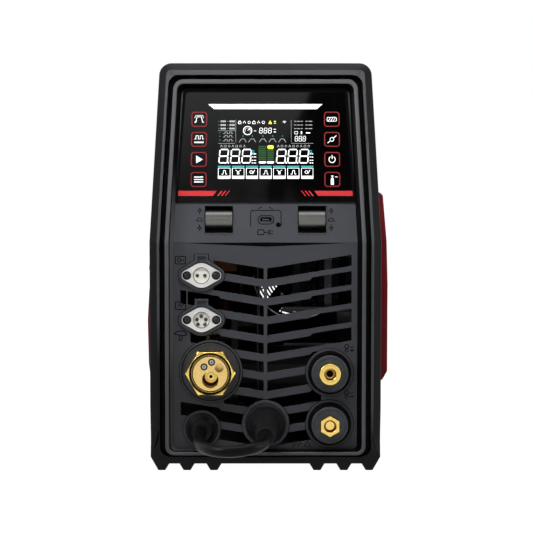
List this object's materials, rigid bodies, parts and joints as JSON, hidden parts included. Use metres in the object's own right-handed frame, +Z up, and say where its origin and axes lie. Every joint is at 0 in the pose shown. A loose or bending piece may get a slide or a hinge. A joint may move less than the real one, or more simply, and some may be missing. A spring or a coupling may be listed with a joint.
{
  "type": "tig welding machine",
  "caption": "Compact upright inverter welder with a leaning control panel, torch and cable sockets, side wire bay, top handle and rear fan.",
  "frame": {"origin": "on the ground under the middle of the case, without the lead and its boot", "axes": "+X to the right of someone facing the front, +Y to the back (the front faces -Y), +Z up"},
  "size_m": [0.243, 0.5852, 0.397],
  "materials": {
    "bezel_plastic": "satin moulded black-grey plastic with a fine grain",
    "panel_plastic": "satin dark grey moulded plastic",
    "screen_gloss": "glossy black printed overlay",
    "module_plastic": "dark moulded plastic",
    "board": "green circuit board",
    "roller_metal": "knurled bright roller",
    "nickel": "nickel plated, lightly worn",
    "insert_plastic": "cream insulating plastic",
    "connector_brass": "turned brass",
    "insulator_black": "satin black moulded plastic",
    "cord_rubber": "matt black rubber",
    "case_sheet": "black powder coat",
    "red_gloss": "dark red gloss",
    "knob_red": "red moulded knob",
    "zinc_steel": "zinc plated steel",
    "feeder_aluminium": "cast and machined aluminium",
    "motor_black": "black painted motor can",
    "hub_plastic": "cream plastic hub",
    "spool_plastic": "black plastic spool",
    "wire_copper": "copper-coated steel wire",
    "core_steel": "ferrite core with a taped coil",
    "capacitor_black": "black sleeved capacitors on a board"
  },
  "bodies": {
    "chassis": {"base_tray": "bezel_plastic", "capacitor_bank": "capacitor_black", "carry_handle": "bezel_plastic", "centre_divider": "zinc_steel", "control_board": "board", "control_insert": "insert_plastic", "control_socket": "nickel", "display_glass": "screen_gloss", "display_module": "module_plastic", "door_hinge_pin": "zinc_steel", "euro_connector": "connector_brass", "euro_insulator": "insulator_black", "fan_frame": "module_plastic", "fan_guard": "case_sheet", "feed_motor": "motor_black", "feed_plate": "feeder_aluminium", "front_bezel": "bezel_plastic", "front_panel": "panel_plastic", "gas_inlet": "connector_brass", "gas_valve": "connector_brass", "heatsink": "feeder_aluminium", "inner_frame": "panel_plastic", "lead_grommet": "cord_rubber", "main_board": "board", "mains_gland": "insulator_black", "negative_insulator": "insulator_black", "negative_terminal": "connector_brass", "park_socket": "insulator_black", "plug_boot": "cord_rubber", "polarity_lead": "cord_rubber", "positive_insulator": "insulator_black", "positive_terminal": "connector_brass", "power_switch": "insulator_black", "rear_bezel": "bezel_plastic", "rear_panel": "case_sheet", "right_cover": "red_gloss", "right_side_panel": "case_sheet", "spool_axle": "zinc_steel", "top_cover": "case_sheet", "transformer": "core_steel", "trigger_insert": "insert_plastic", "trigger_socket": "nickel", "usb_socket": "nickel"},
    "roller_slide_left": {"roller_carrier_left": "module_plastic"},
    "roller_slide_right": {"roller_carrier_right": "module_plastic"},
    "roller_wheel_left": {"roller_left": "roller_metal"},
    "roller_wheel_right": {"roller_right": "roller_metal"},
    "door": {"wire_bay_door": "case_sheet", "door_cover": "red_gloss"},
    "latch_lower": {"door_latch_lower": "bezel_plastic"},
    "latch_upper": {"door_latch_upper": "bezel_plastic"},
    "rocker": {"power_rocker": "insulator_black"},
    "fan_wheel": {"fan_rotor": "insulator_black"},
    "feed_roll": {"drive_roll": "zinc_steel"},
    "arm": {"pressure_arm": "feeder_aluminium"},
    "idler": {"idler_roll": "zinc_steel"},
    "tension": {"tension_knob": "knob_red"},
    "reel": {"spool_hub": "hub_plastic", "wire_spool": "spool_plastic", "wire_winding": "wire_copper"}
  },
  "joints": [
    {"name": "roller_press_left", "type": "slide", "parent": "chassis", "child": "roller_slide_left", "axis": [0, 0.9659, -0.2588], "range_m": [0, 0.0012], "stiffness_N_per_m": 1000, "springref_m": -0.0012},
    {"name": "roller_press_right", "type": "slide", "parent": "chassis", "child": "roller_slide_right", "axis": [0, 0.9659, -0.2588], "range_m": [0, 0.0012], "stiffness_N_per_m": 1000, "springref_m": -0.0012},
    {"name": "roller_turn_left", "type": "hinge", "parent": "roller_slide_left", "child": "roller_wheel_left", "pos_m": [-0.0448, -0.21679, 0.2403], "axis": [1, 0, 0], "continuous": true},
    {"name": "roller_turn_right", "type": "hinge", "parent": "roller_slide_right", "child": "roller_wheel_right", "pos_m": [0.0448, -0.21679, 0.2403], "axis": [1, 0, 0], "continuous": true},
    {"name": "door_hinge", "type": "hinge", "parent": "chassis", "child": "door", "pos_m": [-0.1095, 0.18, 0.1], "axis": [0, 0, -1], "range_deg": [0, 105]},
    {"name": "latch_turn_lower", "type": "hinge", "parent": "door", "child": "latch_lower", "pos_m": [-0.1068, -0.15, 0.09], "axis": [1, 0, 0], "range_deg": [0, 90]},
    {"name": "latch_turn_upper", "type": "hinge", "parent": "door", "child": "latch_upper", "pos_m": [-0.1068, -0.15, 0.19], "axis": [1, 0, 0], "range_deg": [0, 90]},
    {"name": "power_rock", "type": "hinge", "parent": "chassis", "child": "rocker", "pos_m": [-0.064, 0.21502, 0.29], "axis": [-1, 0, 0], "range_deg": [0, 20]},
    {"name": "fan_spin", "type": "hinge", "parent": "chassis", "child": "fan_wheel", "pos_m": [0.04, 0.2115, 0.158], "axis": [0, 1, 0], "continuous": true},
    {"name": "feed_spin", "type": "hinge", "parent": "chassis", "child": "feed_roll", "pos_m": [-0.0526, -0.125, 0.0785], "axis": [1, 0, 0], "continuous": true},
    {"name": "arm_lift", "type": "hinge", "parent": "chassis", "child": "arm", "pos_m": [-0.0526, -0.16, 0.118], "axis": [1, 0, 0], "range_deg": [0, 40]},
    {"name": "idler_spin", "type": "hinge", "parent": "arm", "child": "idler", "pos_m": [-0.0526, -0.125, 0.1065], "axis": [1, 0, 0], "continuous": true},
    {"name": "tension_turn", "type": "hinge", "parent": "arm", "child": "tension", "pos_m": [-0.0428, -0.085, 0.13], "axis": [0, 0, 1], "range_deg": [-360, 360]},
    {"name": "reel_spin", "type": "hinge", "parent": "chassis", "child": "reel", "pos_m": [-0.0526, 0.07, 0.2], "axis": [1, 0, 0], "continuous": true}
  ],
  "couplings": [
    {"joint": "idler_spin", "follows": "feed_spin", "ratio": -1.25}
  ]
}
